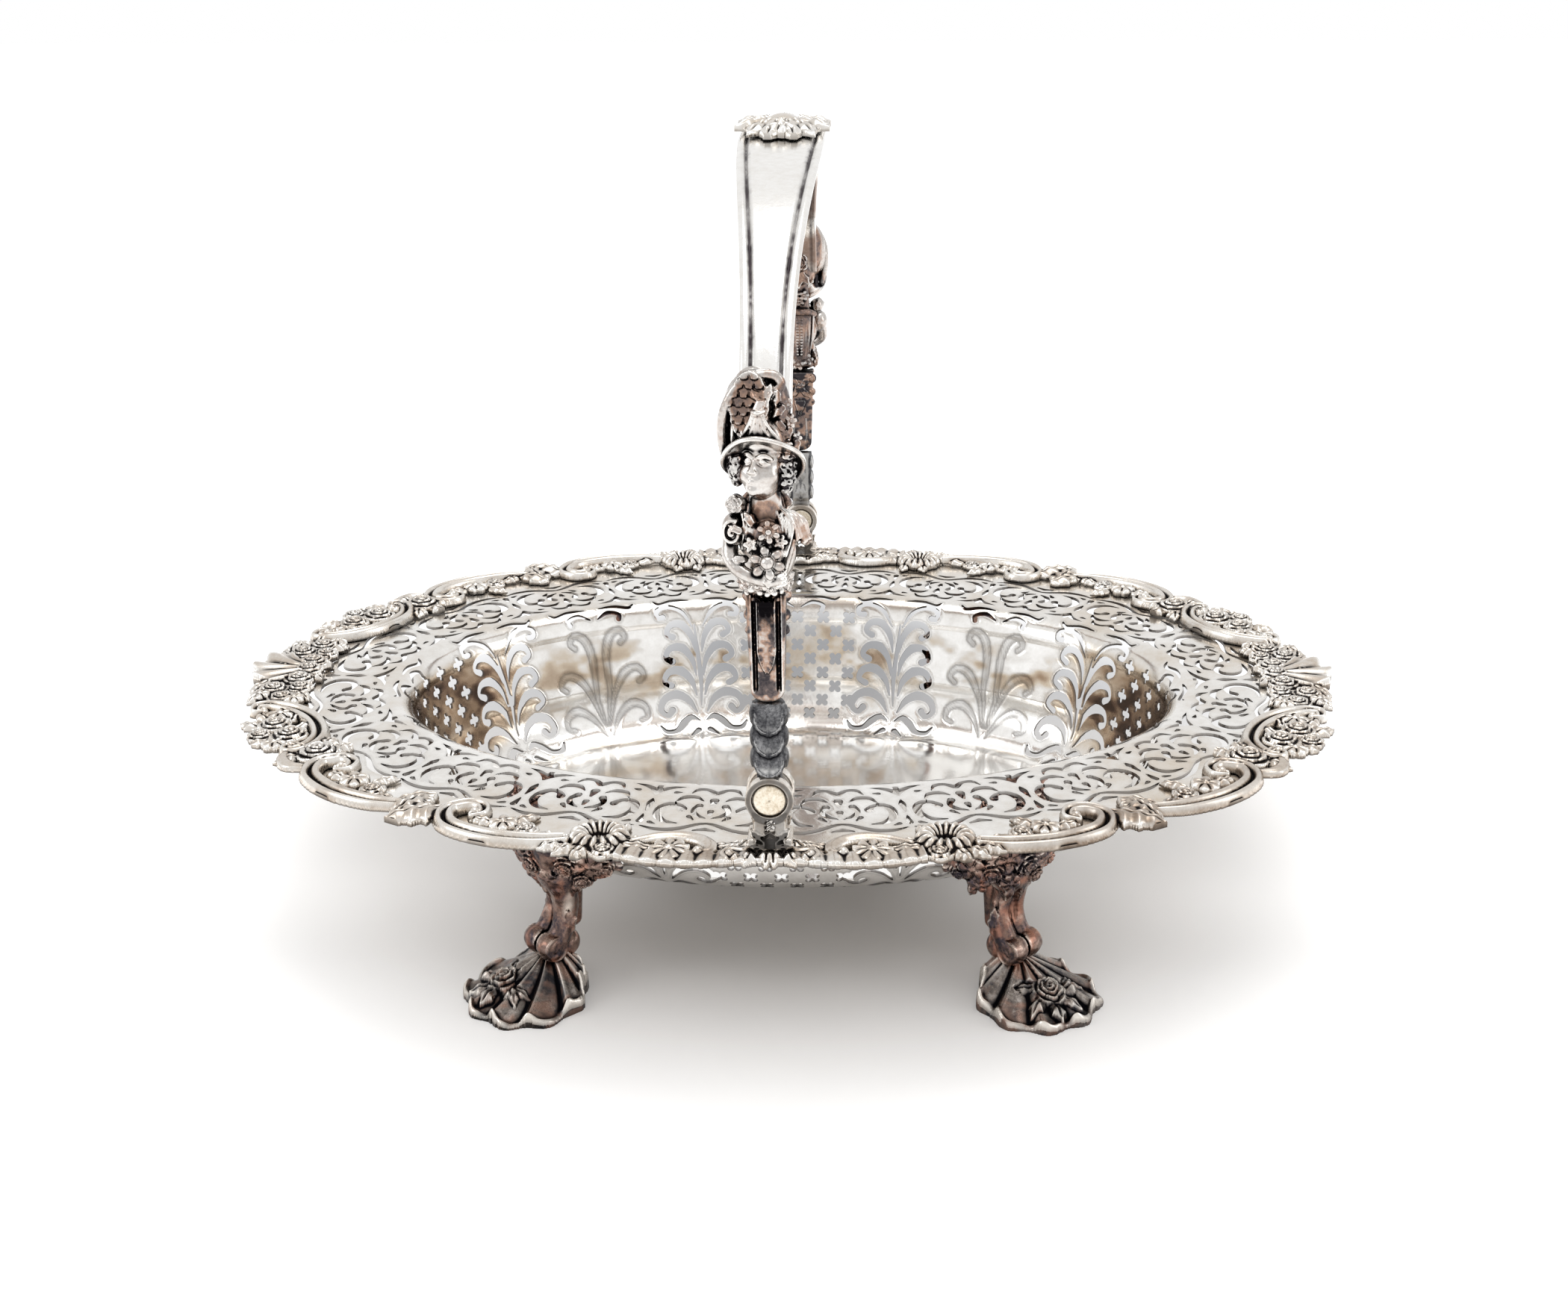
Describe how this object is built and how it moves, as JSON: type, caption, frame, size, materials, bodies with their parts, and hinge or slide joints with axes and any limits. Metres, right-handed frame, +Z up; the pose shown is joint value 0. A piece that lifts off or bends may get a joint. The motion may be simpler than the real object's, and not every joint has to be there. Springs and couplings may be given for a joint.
{
  "type": "swing-handled basket",
  "caption": "Oval pierced metal basket with a cast scroll border, a swing handle on two figures and four shell feet.",
  "frame": {"origin": "middle of the footprint, on the plane that the feet stand on", "axes": "+X along the long axis of the oval, Y along the axis that the handle turns on, +Z up"},
  "size_m": [0.3682, 0.307, 0.2643],
  "materials": {
    "polished_silver": "polished silver sheet",
    "cast_silver": "cast and chased silver",
    "oxidised_silver": "cast silver, darkened in its recesses",
    "tarnished_silver": "cast silver with a dark brown and purple tarnish"
  },
  "bodies": {
    "basket": {"pierced_body": "polished_silver", "hinge_pin_front": "polished_silver", "hinge_pin_back": "polished_silver", "hinge_shell_front": "cast_silver", "hinge_shell_back": "cast_silver", "border_end_left": "cast_silver", "border_end_right": "cast_silver", "hinge_bracket_front": "cast_silver", "hinge_bracket_back": "cast_silver", "border_ruffle_front_left": "cast_silver", "border_leaf_front_left": "cast_silver", "border_rose_front_left": "cast_silver", "border_scroll_front_left": "cast_silver", "border_ruffle_front_right": "cast_silver", "border_leaf_front_right": "cast_silver", "border_rose_front_right": "cast_silver", "border_scroll_front_right": "cast_silver", "border_ruffle_back_left": "cast_silver", "border_leaf_back_left": "cast_silver", "border_rose_back_left": "cast_silver", "border_scroll_back_left": "cast_silver", "border_ruffle_back_right": "cast_silver", "border_leaf_back_right": "cast_silver", "border_rose_back_right": "cast_silver", "border_scroll_back_right": "cast_silver", "leg_front_left": "tarnished_silver", "foot_shell_front_left": "tarnished_silver", "leg_front_right": "tarnished_silver", "foot_shell_front_right": "tarnished_silver", "leg_back_left": "tarnished_silver", "foot_shell_back_left": "tarnished_silver", "leg_back_right": "tarnished_silver", "foot_shell_back_right": "tarnished_silver"},
    "handle": {"handle_strap": "polished_silver", "handle_crest": "cast_silver", "figure_front": "oxidised_silver", "term_front": "oxidised_silver", "link_front": "oxidised_silver", "figure_back": "oxidised_silver", "term_back": "oxidised_silver", "link_back": "oxidised_silver"}
  },
  "joints": [
    {"name": "handle_swing", "type": "hinge", "parent": "basket", "child": "handle", "pos_m": [0, 0, 0.0955], "axis": [0, 1, 0], "range_deg": [-88, 88]}
  ]
}
